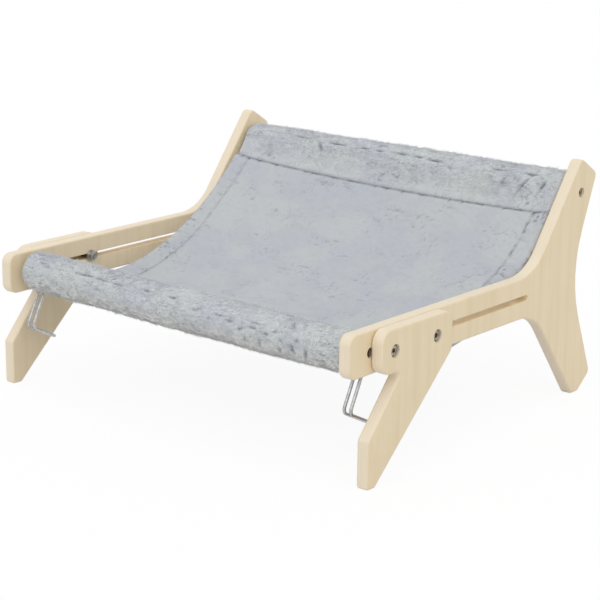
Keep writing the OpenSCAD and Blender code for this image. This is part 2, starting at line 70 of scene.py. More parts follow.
camera = bpy.data.objects.new("camera", bpy.data.cameras.new("camera"))
camera.data.lens = 110.3
camera.data.sensor_width = 36
camera.data.clip_end = 100
camera.matrix_world = camera_matrix()
scene.collection.objects.link(camera)
scene.camera = camera
scene.view_settings.view_transform = "Standard"
print("camera at", tuple(round(c, 3) for c in EYE))

# %% [markdown]
# ## Light
# The picture has the even light of a white studio tent: tops are lightest, the sides
# a little darker, and shadows are almost gone. A white world gives most of it. One
# sun with a very wide angle comes from above the front right, so that tops and front
# edges stand out. The world shows as plain white where the camera, a mirror or glass
# looks at it.

# %% World and lamp
AMBIENT = 0.765
KEY = 0.27
KEY_WAY = Vector((0.32, -0.5, 0.85))  # from the bed to the lamp
KEY_SPREAD = math.radians(70)


def backdrop_share(nodes, links):
    """1 where the eye, a reflection or a see-through surface looks at it."""
    path = nodes.new("ShaderNodeLightPath")
    seen = path.outputs["Is Camera Ray"]
    for ray in ("Is Glossy Ray", "Is Transmission Ray"):
        more = nodes.new("ShaderNodeMath")
        more.operation = "MAXIMUM"
        links.new(seen, more.inputs[0])
        links.new(path.outputs[ray], more.inputs[1])
        seen = more.outputs[0]
    return seen


world = bpy.data.worlds.new("studio")
world.use_nodes = True
scene.world = world
nodes, links = world.node_tree.nodes, world.node_tree.links
nodes.clear()
tent = nodes.new("ShaderNodeBackground")
tent.inputs["Strength"].default_value = AMBIENT
tent.inputs["Color"].default_value = (1, 1, 1, 1)
white = nodes.new("ShaderNodeBackground")
white.inputs["Color"].default_value = (1, 1, 1, 1)
either = nodes.new("ShaderNodeMixShader")
links.new(backdrop_share(nodes, links), either.inputs[0])
links.new(tent.outputs[0], either.inputs[1])
links.new(white.outputs[0], either.inputs[2])
links.new(either.outputs[0], nodes.new("ShaderNodeOutputWorld").inputs[0])

key = bpy.data.objects.new("key_lamp", bpy.data.lights.new("key_lamp", "SUN"))
key.data.energy = KEY * math.pi
key.data.angle = KEY_SPREAD
key.rotation_euler = KEY_WAY.to_track_quat("Z", "Y").to_euler()
scene.collection.objects.link(key)
print("ambient", AMBIENT, "key", KEY)

# %% [markdown]
# ## Small helpers
# A material here is a Principled BSDF with a few nodes before it. Three helpers keep
# the cells short: one makes a node with its settings, one starts a material, and one
# turns a finished bmesh into a piece that rides on a body of the frame.

# %% Helpers for nodes, materials and pieces


def add(tree, kind, settings=None, values=None):
    """A new node with its settings, and with values or links on its inputs."""
    node = tree.nodes.new(kind)
    for name, value in (settings or {}).items():
        setattr(node, name, value)
    for name, value in (values or {}).items():
        if isinstance(value, bpy.types.NodeSocket):
            tree.links.new(value, node.inputs[name])
        else:
            node.inputs[name].default_value = value
    return node


def math_node(tree, operation, first, second=0.0):
    node = add(tree, "ShaderNodeMath", {"operation": operation}, {0: first, 1: second})
    return node.outputs[0]


def mix_colour(tree, share, first, second):
    node = add(tree, "ShaderNodeMix", {"data_type": "RGBA"}, {0: share, 6: first, 7: second})
    return node.outputs[2]


def ramp(tree, value, low, high):
    """0 below low, 1 above high, and a soft step between."""
    node = add(tree, "ShaderNodeMapRange", {"interpolation_type": "SMOOTHSTEP"},
               {0: value, 1: low, 2: high})
    return node.outputs[0]


def srgb(red, green, blue):
    """A colour as a picture shows it, 0 to 255, as the linear values that nodes take."""
    def linear(c):
        c /= 255
        return c / 12.92 if c <= 0.04045 else ((c + 0.055) / 1.055) ** 2.4
    return (linear(red), linear(green), linear(blue), 1)


def new_group(name, inputs, outputs):
    """A node group with named sockets, and its input and output nodes."""
    tree = bpy.data.node_groups.new(name, "ShaderNodeTree")
    for label, kind, default in inputs:
        socket = tree.interface.new_socket(label, in_out="INPUT", socket_type=kind)
        socket.default_value = default
    for label, kind in outputs:
        tree.interface.new_socket(label, in_out="OUTPUT", socket_type=kind)
    return tree, tree.nodes.new("NodeGroupInput"), tree.nodes.new("NodeGroupOutput")


def new_material(name, **values):
    """A material with a Principled BSDF whose sockets take plain values."""
    material = bpy.data.materials.new(name)
    material.use_nodes = True
    shader = material.node_tree.nodes["Principled BSDF"]
    for label, value in values.items():
        shader.inputs[label.replace("_", " ")].default_value = value
    return material, material.node_tree, shader


def place(bm, name, materials, body, stands_for=()):
    """Makes a bmesh a piece with smooth faces that rides on a body."""
    mesh = bpy.data.meshes.new(name)
    bm.to_mesh(mesh)
    bm.free()
    for material in materials:
        mesh.materials.append(material)
    mesh.shade_smooth()
    piece = bpy.data.objects.new(name, mesh)
    scene.collection.objects.link(piece)
    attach(piece, body)
    if stands_for:
        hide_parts(*stands_for)
    print(f"{name}: {len(mesh.polygons)} faces")
    return piece


# %% [markdown]
# ## Floor
# A plain white floor, as wide as the eye can see. The picture was cut out on white, so
# the shadow of the bed is kept but made faint: where the eye looks at the floor, most of
# it lets the white world through, and the rest is a matt white that takes the shadow.
# Rays that carry light see the matt floor only, a little darker than white, so that it
# doesn't light the underside too much.

# %% Floor
FLOOR_HALF = 40
FLOOR_GREY = 0.8
FLOOR_CLEAR = 0.92
material, tree, shader = new_material("white_floor", Roughness=0.9, Specular_IOR_Level=0)
seen = backdrop_share(tree.nodes, tree.links)
for_light = (FLOOR_GREY, FLOOR_GREY, FLOOR_GREY, 1)
tree.links.new(mix_colour(tree, seen, for_light, (1, 1, 1, 1)), shader.inputs["Base Color"])
see_through = add(tree, "ShaderNodeBsdfTransparent", None, {"Color": (1, 1, 1, 1)})
faint = add(tree, "ShaderNodeMixShader", None,
            {0: math_node(tree, "MULTIPLY", seen, FLOOR_CLEAR), 1: shader.outputs[0],
             2: see_through.outputs[0]})
tree.links.new(faint.outputs[0], tree.nodes["Material Output"].inputs["Surface"])
bm = bmesh.new()
bmesh.ops.create_grid(bm, x_segments=1, y_segments=1, size=FLOOR_HALF)
mesh = bpy.data.meshes.new("floor")
bm.to_mesh(mesh)
bm.free()
mesh.materials.append(material)
floor = bpy.data.objects.new("floor", mesh)
scene.collection.objects.link(floor)
print("floor", floor.dimensions.x, "m wide")

# %% [markdown]
# ## Wood
# The boards are pale birch plywood with a matt clear coat. The face veneer has fine
# grain that runs up the board. The edges show the plies as faint lines, and their paler
# tone is in part a painted highlight of the rounded edges. The sawn walls of the slot get
# a lighter wood as painted light, which makes up for the little light that reaches them.
# Grain and plies are two node groups: panels and legs use both, slot walls and rods only
# the grain.

# %% Node group: grain
tree, given, made = new_group(
    "Wood grain",
    [("Stretch", "NodeSocketVector", (90, 90, 5)), ("Light", "NodeSocketColor", (1, 1, 1, 1)),
     ("Dark", "NodeSocketColor", (0.5, 0.4, 0.3, 1))],
    [("Color", "NodeSocketColor"), ("Height", "NodeSocketFloat"),
     ("Roughness", "NodeSocketFloat")])
where = add(tree, "ShaderNodeTexCoord").outputs["Object"]
long_way = add(tree, "ShaderNodeVectorMath", {"operation": "MULTIPLY"},
               {0: where, 1: given.outputs["Stretch"]}).outputs[0]
bands = add(tree, "ShaderNodeTexNoise", None,
            {"Vector": long_way, "Scale": 1, "Detail": 5, "Roughness": 0.55, "Distortion": 0.6})
pores = add(tree, "ShaderNodeTexNoise", None,
            {"Vector": long_way, "Scale": 9, "Detail": 3, "Roughness": 0.6})
clouds = add(tree, "ShaderNodeTexNoise", None, {"Vector": where, "Scale": 14, "Detail": 2})
share = ramp(tree, bands.outputs["Fac"], 0.38, 0.72)
grain = mix_colour(tree, math_node(tree, "MULTIPLY", share, 0.6), given.outputs["Light"],
                   given.outputs["Dark"])
tone = ramp(tree, clouds.outputs["Fac"], 0.35, 0.7)
grain = mix_colour(tree, math_node(tree, "MULTIPLY", tone, 0.3), grain, given.outputs["Dark"])
tree.links.new(grain, made.inputs["Color"])
tree.links.new(pores.outputs["Fac"], made.inputs["Height"])
rough = add(tree, "ShaderNodeMath", {"operation": "MULTIPLY_ADD"},
            {0: pores.outputs["Fac"], 1: 0.25, 2: 0.42})
tree.links.new(rough.outputs[0], made.inputs["Roughness"])
WOOD_GRAIN = tree
print("group", tree.name)

# %% Node group: plies that show on an edge
PLIES = 9
BOARD = 0.012
PANEL_IN, LEG_IN = 0.1975, 0.2096  # distance of the inner faces from the middle
tree, given, made = new_group(
    "Ply edge",
    [("Start", "NodeSocketFloat", PANEL_IN), ("Thickness", "NodeSocketFloat", BOARD)],
    [("Edge", "NodeSocketFloat"), ("Line", "NodeSocketFloat"), ("Cross", "NodeSocketFloat")])
here = add(tree, "ShaderNodeTexCoord")
across = add(tree, "ShaderNodeSeparateXYZ", None, {0: here.outputs["Object"]}).outputs["X"]
depth = math_node(tree, "SUBTRACT", math_node(tree, "ABSOLUTE", across), given.outputs["Start"])
depth = math_node(tree, "DIVIDE", depth, given.outputs["Thickness"])
depth = math_node(tree, "MULTIPLY", depth, float(PLIES))
inside = math_node(tree, "FRACT", depth)
middle = math_node(tree, "ABSOLUTE", math_node(tree, "SUBTRACT", inside, 0.5))
pair = math_node(tree, "MODULO", math_node(tree, "FLOOR", depth), 2.0)
facing = add(tree, "ShaderNodeSeparateXYZ", None, {0: here.outputs["Normal"]}).outputs["X"]
side = math_node(tree, "ABSOLUTE", facing)
tree.links.new(math_node(tree, "SUBTRACT", 1.0, ramp(tree, side, 0.35, 0.85)),
               made.inputs["Edge"])
tree.links.new(ramp(tree, middle, 0.4, 0.48), made.inputs["Line"])
tree.links.new(pair, made.inputs["Cross"])
PLY_EDGE = tree
print("group", tree.name, "with", PLIES, "plies")

# %% Materials: panels, legs, slot walls and rods
WOOD_LIGHT = srgb(235, 217, 184)
WOOD_DARK = srgb(224, 205, 168)


def wood(name, stretch, start=None, light=WOOD_LIGHT, dark=WOOD_DARK):
    material, tree, shader = new_material(name, Coat_Weight=0.12, Coat_Roughness=0.35)
    grain = add(tree, "ShaderNodeGroup", {"node_tree": WOOD_GRAIN},
                {"Stretch": stretch, "Light": light, "Dark": dark})
    colour = grain.outputs["Color"]
    if start is not None:
        plies = add(tree, "ShaderNodeGroup", {"node_tree": PLY_EDGE}, {"Start": start})
        edge = plies.outputs["Edge"]
        # Painted highlight in part: the rounded edges are mixed toward a paler tone, as edges
        # that catch the light.
        colour = mix_colour(tree, math_node(tree, "MULTIPLY", edge, 0.6), colour,
                            srgb(243, 232, 214))
        cross = math_node(tree, "MULTIPLY", plies.outputs["Cross"], edge)
        colour = mix_colour(tree, math_node(tree, "MULTIPLY", cross, 0.12), colour,
                            srgb(205, 180, 140))
        line = math_node(tree, "MULTIPLY", plies.outputs["Line"], edge)
        colour = mix_colour(tree, math_node(tree, "MULTIPLY", line, 0.16), colour,
                            srgb(168, 136, 96))
    tree.links.new(colour, shader.inputs["Base Color"])
    tree.links.new(grain.outputs["Roughness"], shader.inputs["Roughness"])
    bump = add(tree, "ShaderNodeBump", None,
               {"Strength": 0.25, "Distance": 0.0002, "Height": grain.outputs["Height"]})
    tree.links.new(bump.outputs[0], shader.inputs["Normal"])
    return material


PANEL_WOOD = wood("birch_panel", (110, 110, 6), PANEL_IN)
LEG_WOOD = wood("birch_leg", (120, 120, 7), LEG_IN)
# Painted light: the slot walls get a lighter wood than the faces, to make up for the little
# light that reaches into the slot.
SLOT_WOOD_PAINTED_LIGHT = wood("slot_wall_painted_light", (110, 110, 6), None, srgb(246, 228, 194),
                 srgb(228, 206, 168))
ROD_WOOD = wood("beech_rod", (6, 110, 110), None, srgb(226, 203, 166), srgb(206, 178, 136))
print("wood:", [m.name for m in (PANEL_WOOD, LEG_WOOD, SLOT_WOOD_PAINTED_LIGHT, ROD_WOOD)])

# %% [markdown]
# ## Boards
# On the real bed every board is sawn, its long edges are rounded with a router, and
# the holes keep a crisp rim. The CAD boards already have the rounding. A copy of each
# is merged and its flat triangles are joined, then the sharp rims of slot and holes
# get a small bevel, and weighted normals keep the broad faces flat.

# %% Boards


def merged_copy(node):
    """A bmesh of a CAD node with its corners merged and its flat triangles joined."""
    bm = bmesh.new()
    bm.from_mesh(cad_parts[node].data)
    bmesh.ops.remove_doubles(bm, verts=bm.verts, dist=2e-6)
    bmesh.ops.dissolve_limit(bm, angle_limit=math.radians(0.5), verts=bm.verts,
                             edges=bm.edges)
    return bm


def soften_rims(bm, width, sharper_than):
    rims = [e for e in bm.edges
            if len(e.link_faces) == 2 and e.calc_face_angle() > math.radians(sharper_than)]
    bmesh.ops.bevel(bm, geom=rims, offset=width, offset_type="OFFSET", affect="EDGES",
                    segments=2, profile=0.5, material=-1, clamp_overlap=True)


def keep_flats(piece):
    """Weighted normals, so that broad faces look flat beside small bevels."""
    weighted = piece.modifiers.new("flat_faces", "WEIGHTED_NORMAL")
    weighted.weight = 80
    weighted.keep_sharp = True


def dress_board(node, body, timber):
    bm = merged_copy(node)
    soften_rims(bm, 0.0004, 60)
    piece = place(bm, node + "_board", [timber, SLOT_WOOD_PAINTED_LIGHT], body, [node])
    keep_flats(piece)
    return piece


SLOT_LOW, SLOT_HIGH = (-0.1449, 0.1100), (0.0726, 0.1155)  # corners as (y, z)
SLOT_MARGIN = 1e-4
for side in ("left", "right"):
    panel = dress_board(side + "_side_panel", "frame", PANEL_WOOD)
    wall_faces = 0
    for face in panel.data.polygons:
        within = all(SLOT_LOW[i] - SLOT_MARGIN < face.center[i + 1] < SLOT_HIGH[i] + SLOT_MARGIN
                     for i in (0, 1))
        if within and abs(face.normal.x) < 0.3:
            face.material_index = 1
            wall_faces += 1
    print(side, "slot walls:", wall_faces, "faces")
    dress_board(side + "_front_leg", side + "_leg", LEG_WOOD)
for node in ("front_rod", "rear_rod"):
    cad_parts[node].data.materials.clear()
    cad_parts[node].data.materials.append(ROD_WOOD)

# %% [markdown]
# ## Steel and brass
# Bolts, washers and nuts are zinc-plated steel with a slightly uneven grey. The hooks
# are one bright wire. Plain metal would look like plastic here, so a shared group
# gives the base colour soft blotches and the roughness fine scratches.

# %% Node group and materials: metal
tree, given, made = new_group(
    "Plated metal",
    [("Clean", "NodeSocketColor", (0.6, 0.6, 0.6, 1)),
     ("Dull", "NodeSocketColor", (0.4, 0.4, 0.4, 1)), ("Polish", "NodeSocketFloat", 0.25)],
    [("Color", "NodeSocketColor"), ("Roughness", "NodeSocketFloat"),
     ("Height", "NodeSocketFloat")])
where = add(tree, "ShaderNodeTexCoord").outputs["Object"]
blotch = add(tree, "ShaderNodeTexNoise", None, {"Vector": where, "Scale": 350, "Detail": 4})
scratch = add(tree, "ShaderNodeTexNoise", None,
              {"Vector": where, "Scale": 2400, "Detail": 2, "Roughness": 0.7})
share = ramp(tree, blotch.outputs["Fac"], 0.4, 0.65)
tree.links.new(mix_colour(tree, share, given.outputs["Clean"], given.outputs["Dull"]),
               made.inputs["Color"])
rough = math_node(tree, "MULTIPLY", scratch.outputs["Fac"], 0.3)
tree.links.new(math_node(tree, "ADD", rough, given.outputs["Polish"]), made.inputs["Roughness"])
tree.links.new(scratch.outputs["Fac"], made.inputs["Height"])
PLATED = tree


def metal(name, clean, dull, polish):
    material, tree, shader = new_material(name, Metallic=1.0)
    plate = add(tree, "ShaderNodeGroup", {"node_tree": PLATED},
                {"Clean": clean, "Dull": dull, "Polish": polish})
    tree.links.new(plate.outputs["Color"], shader.inputs["Base Color"])
    tree.links.new(plate.outputs["Roughness"], shader.inputs["Roughness"])
    bump = add(tree, "ShaderNodeBump", None,
               {"Strength": 0.2, "Distance": 0.00005, "Height": plate.outputs["Height"]})
    tree.links.new(bump.outputs[0], shader.inputs["Normal"])
    return material


BOLT_STEEL = metal("zinc_bolt", srgb(176, 170, 157), srgb(134, 127, 114), 0.22)
WASHER_STEEL = metal("zinc_washer", srgb(196, 194, 188), srgb(160, 157, 150), 0.2)
WIRE_STEEL = metal("bright_wire", srgb(186, 186, 188), srgb(168, 167, 167), 0.1)
BRASS = metal("brass_insert", srgb(206, 176, 112), srgb(170, 136, 78), 0.18)
print("metal:", [m.name for m in (BOLT_STEEL, WASHER_STEEL, WIRE_STEEL, BRASS)])

# %% Bolts, washers, nuts, bushes and hooks


def dress_metal(node, body, finish, rim):
    bm = merged_copy(node)
    soften_rims(bm, rim, 50)
    keep_flats(place(bm, node + "_metal", [finish], body, [node]))


dress_metal("rod_inserts", "frame", BRASS, 0.0002)
dress_metal("rod_bolts", "frame", BOLT_STEEL, 0.0003)
for side in ("left", "right"):
    leg = side + "_leg"
    for part in ("_leg_bolt", "_hook_bolt"):
        dress_metal(side + part, leg, BOLT_STEEL, 0.0003)
    for part, rim in (("_leg_washers", 0.0002), ("_leg_nut", 0.0003), ("_hook_nut", 0.0002),
                      ("_hook_bush", 0.0001)):
        dress_metal(side + part, leg, WASHER_STEEL, rim)
    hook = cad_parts[side + "_hook"]
    hook.data.materials.clear()
    hook.data.materials.append(WIRE_STEEL)

# %% [markdown]
# ## Plush
# The cloth is one plush in two lengths: short and brushed flat on the sling, longer on
# the two rolls. It turns a little bluer or greener where it is brushed another way. Shade
# is painted into its colour: the gaps between its locks, creases, seams and roots get
# painted shade, while the tips stay light. An underside is painted lighter and warmer,
# as painted bounce light from a white floor. The places of the painted shade come from
# the mesh, in an attribute named gap, which the material reads. The finest pile of the
# skins is a bump; the locks have none.

# %% Node group: pile
# Tone of the painted bounce light that undersides get, as from the white floor.
PAINTED_BOUNCE_TONE = srgb(246, 245, 238)
tree, given, made = new_group(
    "Pile",
    [("Tone", "NodeSocketColor", (0.5, 0.5, 0.55, 1)),
     ("Other tone", "NodeSocketColor", (0.5, 0.5, 0.5, 1)),
     ("Shade tone", "NodeSocketColor", (0.2, 0.2, 0.22, 1)),
     ("Contrast", "NodeSocketFloat", 0.2), ("Painted bounce", "NodeSocketFloat", 0.0)],
    [("Color", "NodeSocketColor"), ("Height", "NodeSocketFloat")])
where = add(tree, "ShaderNodeTexCoord").outputs["Object"]
lying = add(tree, "ShaderNodeVectorMath", {"operation": "MULTIPLY"},
            {0: where, 1: (0.6, 1, 1)}).outputs[0]
clouds = add(tree, "ShaderNodeTexNoise", None, {"Vector": where, "Scale": 20, "Detail": 3})
brushed = add(tree, "ShaderNodeTexNoise", None,
              {"Vector": lying, "Scale": 130, "Detail": 4, "Roughness": 0.6, "Distortion": 1.2})
hairs = add(tree, "ShaderNodeTexNoise", None,
            {"Vector": lying, "Scale": 1500, "Detail": 2, "Roughness": 0.6})
colour = mix_colour(tree, ramp(tree, clouds.outputs["Fac"], 0.38, 0.62),
                    given.outputs["Tone"], given.outputs["Other tone"])
shade = math_node(tree, "MULTIPLY", ramp(tree, brushed.outputs["Fac"], 0.56, 0.3),
                  given.outputs["Contrast"])
colour = mix_colour(tree, shade, colour, given.outputs["Shade tone"])
fine = math_node(tree, "MULTIPLY", ramp(tree, hairs.outputs["Fac"], 0.6, 0.3),
                 given.outputs["Contrast"])
colour = mix_colour(tree, fine, colour, given.outputs["Shade tone"])
facing = add(tree, "ShaderNodeTexCoord").outputs["Normal"]
upward = add(tree, "ShaderNodeSeparateXYZ", None, {0: facing}).outputs["Z"]
# Painted bounce light: faces that look down are mixed toward a lighter, warmer tone.
below = math_node(tree, "MULTIPLY", ramp(tree, upward, 0.1, -0.7), given.outputs["Painted bounce"])
colour = mix_colour(tree, below, colour, PAINTED_BOUNCE_TONE)
# Painted shade: the gap attribute darkens gaps, creases, hollows, seams, stitches and roots
# toward the shade tone.
gap = add(tree, "ShaderNodeAttribute", {"attribute_name": "gap"}).outputs["Fac"]
colour = mix_colour(tree, gap, colour, given.outputs["Shade tone"])
tree.links.new(colour, made.inputs["Color"])
height = math_node(tree, "ADD", math_node(tree, "MULTIPLY", brushed.outputs["Fac"], 1.2),
                   hairs.outputs["Fac"])
tree.links.new(height, made.inputs["Height"])
PILE = tree
print("group", tree.name)

# %% Materials: short plush, long plush, its locks and the knitted back


def plush(name, tone, other, shade_tone, contrast, depth, sheen=0.12, under=0.0):
    material, tree, shader = new_material(
        name, Roughness=0.95, Sheen_Weight=sheen, Sheen_Roughness=0.5,
        Specular_IOR_Level=0.1)
    pile = add(tree, "ShaderNodeGroup", {"node_tree": PILE},
               {"Tone": tone, "Other tone": other, "Shade tone": shade_tone, "Contrast": contrast,
                "Painted bounce": under})
    tree.links.new(pile.outputs["Color"], shader.inputs["Base Color"])
    if depth:
        bump = add(tree, "ShaderNodeBump", None,
                   {"Strength": 0.5, "Distance": depth, "Height": pile.outputs["Height"]})
        tree.links.new(bump.outputs[0], shader.inputs["Normal"])
    return material


SHORT_PLUSH = plush("short_plush", srgb(189, 193, 200), srgb(194, 198, 200),
                    srgb(104, 108, 118), 0.09, 0.0005)
# Painted bounce light: the undersides of the rolls, and more so of the locks, are mixed toward a
# lighter, warmer tone.
LONG_PLUSH = plush("long_plush", srgb(200, 203, 209), srgb(204, 209, 211),
                   srgb(104, 108, 116), 0.14, 0.0006, under=0.6)
# Painted light: the locks are the long plush painted lighter, to make up for the shade they cast
# on one another.
LOCKS = plush("long_plush_locks", srgb(231, 234, 240), srgb(236, 240, 240),
              srgb(112, 115, 123), 0.1, 0, sheen=0.4, under=0.9)

material, tree, shader = new_material("knitted_back", Roughness=0.9, Sheen_Weight=0.1)
where = add(tree, "ShaderNodeTexCoord").outputs["Object"]
rib = add(tree, "ShaderNodeTexWave", {"bands_direction": "X"},
          {"Vector": where, "Scale": 120, "Distortion": 0.6, "Detail": 1})
row = add(tree, "ShaderNodeTexWave", {"bands_direction": "Y"},
          {"Vector": where, "Scale": 160, "Distortion": 0.6, "Detail": 1})
knit = math_node(tree, "MULTIPLY", rib.outputs["Fac"], row.outputs["Fac"])
tree.links.new(mix_colour(tree, knit, srgb(168, 171, 180), srgb(190, 193, 200)),
               shader.inputs["Base Color"])
bump = add(tree, "ShaderNodeBump", None, {"Strength": 0.5, "Distance": 0.0003, "Height": knit})
tree.links.new(bump.outputs[0], shader.inputs["Normal"])
KNITTED_BACK = material
print("cloth:", [m.name for m in (SHORT_PLUSH, LONG_PLUSH, LOCKS, KNITTED_BACK)])

# %% [markdown]
# ## Where the cloth runs
# The sling hangs from the lip of the rear roll to the lip of the front roll. Most sizes
# are those of the CAD model's cloth, and so are the functions of the place across the
# bed, so that rolls and sling meet along their seams.

# %% Sizes of the cloth
FRONT_ROD = Vector((-0.16005, 0.11275))
FRONT_AHEAD = 0.0026
REAR_ROD = Vector((0.1575, 0.1967))
BORE_R = 0.0113
FRONT_R, REAR_R, END_R = 0.0195, 0.0190, 0.0147
LIP_W = 0.005
CLOTH_GAP = 0.0003


def spread(left, mid, right, u):
    """A value across the bed, u from -1 at the left panel to 1 at the right one."""
    return left * u * (u - 1) / 2 + mid * (1 - u * u) + right * u * (u + 1) / 2


def front_centre(u):
    return FRONT_ROD + Vector((-FRONT_AHEAD, spread(0.0016, -0.0012, -0.0029, u)))


def front_tip(u):
    return front_centre(u) + Vector((0.0236, -0.0057))


def rear_centre(u):
    return REAR_ROD.copy()


def rear_tip(u):
    return REAR_ROD - Vector((0.0297, spread(0.012, 0.020, 0.018, u)))


def step(value, low, high):
    s = max(0.0, min(1.0, (value - low) / (high - low)))
    return s * s * (3 - 2 * s)


print("lip to lip at the middle:", round((rear_tip(0) - front_tip(0)).length, 4))

# %% [markdown]
# ## Clumps and gaps of the pile
# Real pile parts in short dashes along the bed. Noise that is stretched along X makes
# the clumps. Where a second noise passes through zero it makes a thin valley, and a
# wide mask keeps these valleys rare. The function gives a height and how much of the
# point lies in a gap. The bend of the clumps follows the seed of the noise, which is set
# only before the locks. So the skins of the two rolls, which are made before it, come
# out a little different at each run, and the locks and the sling always the same.

# %% Pile function
LENGTHWISE = 0.55  # below 1, clumps are longer along X than across
WANDER = 0.5
VALLEY_WIDTH = 0.06


def pile(point, size, height, gap_depth):
    """Height of the pile at a point in metres, and its share of gap from 0 to 1."""
    p = Vector((point.x * LENGTHWISE, point.y, point.z)) / size
    bend = noise.noise_vector(p * 0.5) * WANDER
    clump = noise.noise(p + bend)
    fine = noise.noise(p * 2.7 + Vector((7, 3, 1)))
    wide = noise.noise(p * 0.23 + Vector((31, 5, 9)))
    valley = abs(noise.noise(Vector((p.x * 0.6, p.y, p.z)) * 0.8 + bend * 2 + Vector((3, 8, 4))))
    gap = (1 - step(valley, 0.0, VALLEY_WIDTH)) * step(wide, 0.02, 0.3)
    up = height * (0.6 * clump + 0.4 * fine) - gap_depth * gap
    return up, gap


print("pile at the origin:", pile(Vector((0, 0, 0)), 0.005, 0.001, 0.001))

# %% [markdown]
# ## The two rolls
# Each rod carries a sleeve of long plush. It is drawn out to a lip where it is sewn
# to the sling, and turned in at both ends. The mesh is a grid whose one way runs
# round the rod and whose other runs along it, closed through the bore. Lengthwise
# creases and the short creases near the right end are where the picture shows them.
# The front roll leaves a room free at the back of each end, where the hook turns. The
# room is measured round the middle of the roll, which lies low on the right. That is
# probably why the roll still cuts into the right hook a little.

# %% Sizes of a roll
TURN_IN = 0.004
PANEL_GAP = 0.0016  # from the end of a roll to the panel
ROOM_FROM, ROOM_TO = math.radians(246), math.radians(384)  # angles of the hook's room
ROOM_RAMP = 0.1
ROOM_LENGTH = 0.0120
FRONT_SHORT = 0.0030  # the left end of the front roll is shorter by this
END_ROUND_LEFT, END_ROUND_RIGHT = 0.008, 0.005
CLUMP, CLUMP_HEIGHT, CLUMP_GAP = 0.0046, 0.0013, 0.0009
WAVES_ALONG, WAVES_ROUND, WAVE_HEIGHT = 26, 2.4, 0.0010
# Degrees off the lip over which pile, creases and sinking set in
PILE_SETS_IN, CREASE_SETS_IN, SINK_SETS_IN = (6, 40), (4, 20), (3, 14)
HOLLOW = 0.0001, 0.0007
SKIN_SUNK, FOOT_SUNK = 0.0015, 0.0020  # how deep skin and feet lie under the outline
# Painted shade: shares in gaps and hollows, shade per metre of crease depth, and the most a
# point gets.
GAP_SHADE, HOLLOW_SHADE, CREASE_SHADE, DARKEST = 0.7, 0.3, 310, 0.85
# Creases as (x, angle round the rod, length along x, length round, depth, slant)
FRONT_CREASES = [
    (0.142, 190, 0.0022, 17, 0.0021, 0.14), (0.156, 197, 0.0022, 20, 0.0023, -0.10),
    (0.106, 197, 0.0024, 13, 0.0014, 0.05), (0.090, 193, 0.0022, 12, 0.0012, 0.0),
    (0.128, 205, 0.0022, 16, 0.0012, 0.05), (-0.128, 205, 0.0026, 18, 0.0009, 0.1),
    (-0.108, 134, 0.015, 4, 0.0022, 0), (-0.066, 137, 0.009, 4, 0.0016, 0),
    (-0.031, 133, 0.006, 4, 0.0024, 0), (0.001, 134, 0.007, 4, 0.0018, 0),
    (-0.165, 132, 0.005, 4, 0.0018, 0), (-0.159, 140, 0.005, 4, 0.0014, 0),
    (0.060, 150, 0.007, 4, 0.0012, 0), (0.100, 146, 0.006, 4, 0.0012, 0),
    (0.138, 122, 0.0026, 16, 0.0012, 0.35), (0.030, 152, 0.004, 5, 0.0014, 0.3),
    (0.048, 165, 0.0035, 6, 0.0012, -0.4), (0.072, 158, 0.005, 5, 0.0016, 0.5),
    (0.084, 172, 0.003, 7, 0.0013, -0.3), (0.098, 160, 0.005, 5, 0.0018, 0.4),
    (0.113, 168, 0.004, 6, 0.0018, 0.5), (0.122, 157, 0.004, 5, 0.0016, -0.5),
    (0.130, 175, 0.003, 8, 0.0014, 0.3), (0.147, 165, 0.003, 8, 0.0016, 0.4)]
REAR_CREASES = [
    (0.177, 168, 0.0024, 24, 0.0023, -0.30), (0.156, 172, 0.0022, 34, 0.0019, -0.55),
    (0.133, 172, 0.0026, 24, 0.0013, -0.35), (0.161, 134, 0.009, 4, 0.0026, 0),
    (0.125, 137, 0.008, 4, 0.0018, 0), (0.050, 141, 0.008, 4, 0.0026, 0),
    (0.032, 138, 0.006, 4, 0.0022, 0), (0.009, 136, 0.010, 4, 0.0024, 0),
    (-0.018, 138, 0.005, 4, 0.0026, 0), (-0.038, 137, 0.006, 4, 0.0024, 0),
    (-0.072, 137, 0.012, 4, 0.0026, 0), (-0.118, 130, 0.014, 4, 0.0014, 0),
    (-0.160, 128, 0.010, 4, 0.0012, 0), (-0.092, 156, 0.0034, 18, 0.0024, 0.5)]

# %% Shape of a roll
BLEND, NEAR = 0.0008, 0.01


def soft_min(a, b):
    """The smaller of two lengths near 0.01, with a soft change from one to the other."""
    total = math.exp(-(a - NEAR) / BLEND) + math.exp(-(b - NEAR) / BLEND)
    return -BLEND * math.log(total) + NEAR


def crease_depth(x, angle, creases):
    """How deep the creases lie at x and at an angle in degrees round the rod."""
    total = 0.0
    for at_x, at_angle, wide, long_round, depth, slant in creases:
        off = (angle - at_angle + 180) % 360 - 180
        across_it = (x - at_x - slant * FRONT_R * math.radians(off)) / wide
        if abs(across_it) < 2 and abs(off) < 2 * long_round:
            total += depth * math.exp(-across_it ** 2 * 1.6 - (off / long_round) ** 2 * 1.6)
    return total


def off_the_lip(angle, way):
    """Degrees between an angle and the way to the lip."""
    return abs((angle - math.degrees(math.atan2(way.y, way.x)) + 180) % 360 - 180)


def roll_outline(way, angle, radius, full):
    """Distance from the middle at an angle, with the lip drawn out where full is 1."""
    reach = way.length
    wide = math.degrees(math.acos(radius / (reach + LIP_W / 2)))
    off = off_the_lip(angle, way)
    drawn = soft_min(reach, radius / math.cos(math.radians(max(0.0, wide - off))))
    return END_R + (drawn - END_R) * full


